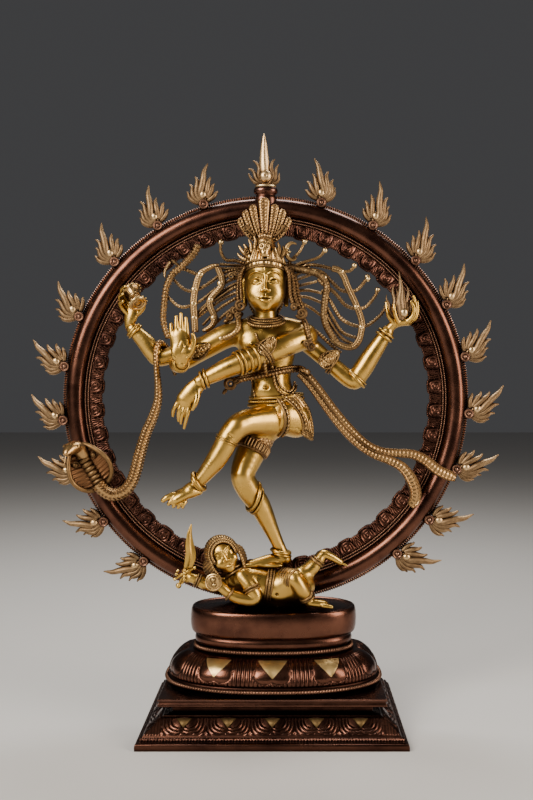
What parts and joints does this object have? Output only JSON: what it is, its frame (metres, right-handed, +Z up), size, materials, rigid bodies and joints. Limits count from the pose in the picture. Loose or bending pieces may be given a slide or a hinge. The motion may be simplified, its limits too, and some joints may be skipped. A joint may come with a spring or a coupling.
{
  "type": "brass nataraja statue",
  "caption": "Cast brass statue of a many-armed figure dancing on a dwarf inside a ring arch of flames, on a stepped lotus pedestal; it stands free on its flat base.",
  "frame": {"origin": "middle of the underside of the base, on the surface the statue stands on", "axes": "+Z up; the front of the statue looks along -Y; +X is the figure's left, the viewer's right"},
  "size_m": [0.4726, 0.175, 0.587],
  "materials": {
    "polished_brass": "polished, with dark antiquing in the recesses",
    "antique_brass": "satin, antiqued, reddish in the recesses",
    "copper_patina": "dark reddish-brown lacquered copper patina with worn high spots",
    "flame_bronze": "satin bronze",
    "fixing_steel": "plain zinc-plated steel"
  },
  "bodies": {
    "root": {"arch": "copper_patina", "arch_left_nut": "fixing_steel", "arch_left_stud": "fixing_steel", "arch_left_washer": "fixing_steel", "arch_right_nut": "fixing_steel", "arch_right_stud": "fixing_steel", "arch_right_washer": "fixing_steel", "arm_back_left": "polished_brass", "arm_back_right": "polished_brass", "arm_front_left": "polished_brass", "arm_front_right": "polished_brass", "base_plate": "fixing_steel", "cobra": "antique_brass", "crescent_moon": "polished_brass", "crest_fan": "polished_brass", "crown": "polished_brass", "crown_flower": "polished_brass", "damaru": "polished_brass", "drum_seat": "copper_patina", "dwarf": "polished_brass", "dwarf_shield": "polished_brass", "dwarf_sword": "polished_brass", "figure_nut": "fixing_steel", "figure_stud": "fixing_steel", "figure_washer": "fixing_steel", "finial_collar": "copper_patina", "finial_flame": "flame_bronze", "flame_left_1": "flame_bronze", "flame_left_2": "flame_bronze", "flame_left_3": "flame_bronze", "flame_left_4": "flame_bronze", "flame_left_5": "flame_bronze", "flame_left_6": "flame_bronze", "flame_left_7": "flame_bronze", "flame_left_8": "flame_bronze", "flame_left_9": "flame_bronze", "flame_right_1": "flame_bronze", "flame_right_2": "flame_bronze", "flame_right_3": "flame_bronze", "flame_right_4": "flame_bronze", "flame_right_5": "flame_bronze", "flame_right_6": "flame_bronze", "flame_right_7": "flame_bronze", "flame_right_8": "flame_bronze", "flame_right_9": "flame_bronze", "hair_left": "antique_brass", "hair_right": "antique_brass", "hand_flame": "flame_bronze", "head": "polished_brass", "hip_belt": "polished_brass", "leg_raised": "polished_brass", "leg_standing": "polished_brass", "loincloth": "polished_brass", "lotus_base": "copper_patina", "necklace": "polished_brass", "plinth": "copper_patina", "torso": "polished_brass", "waist_sash": "antique_brass"}
  },
  "joints": []
}
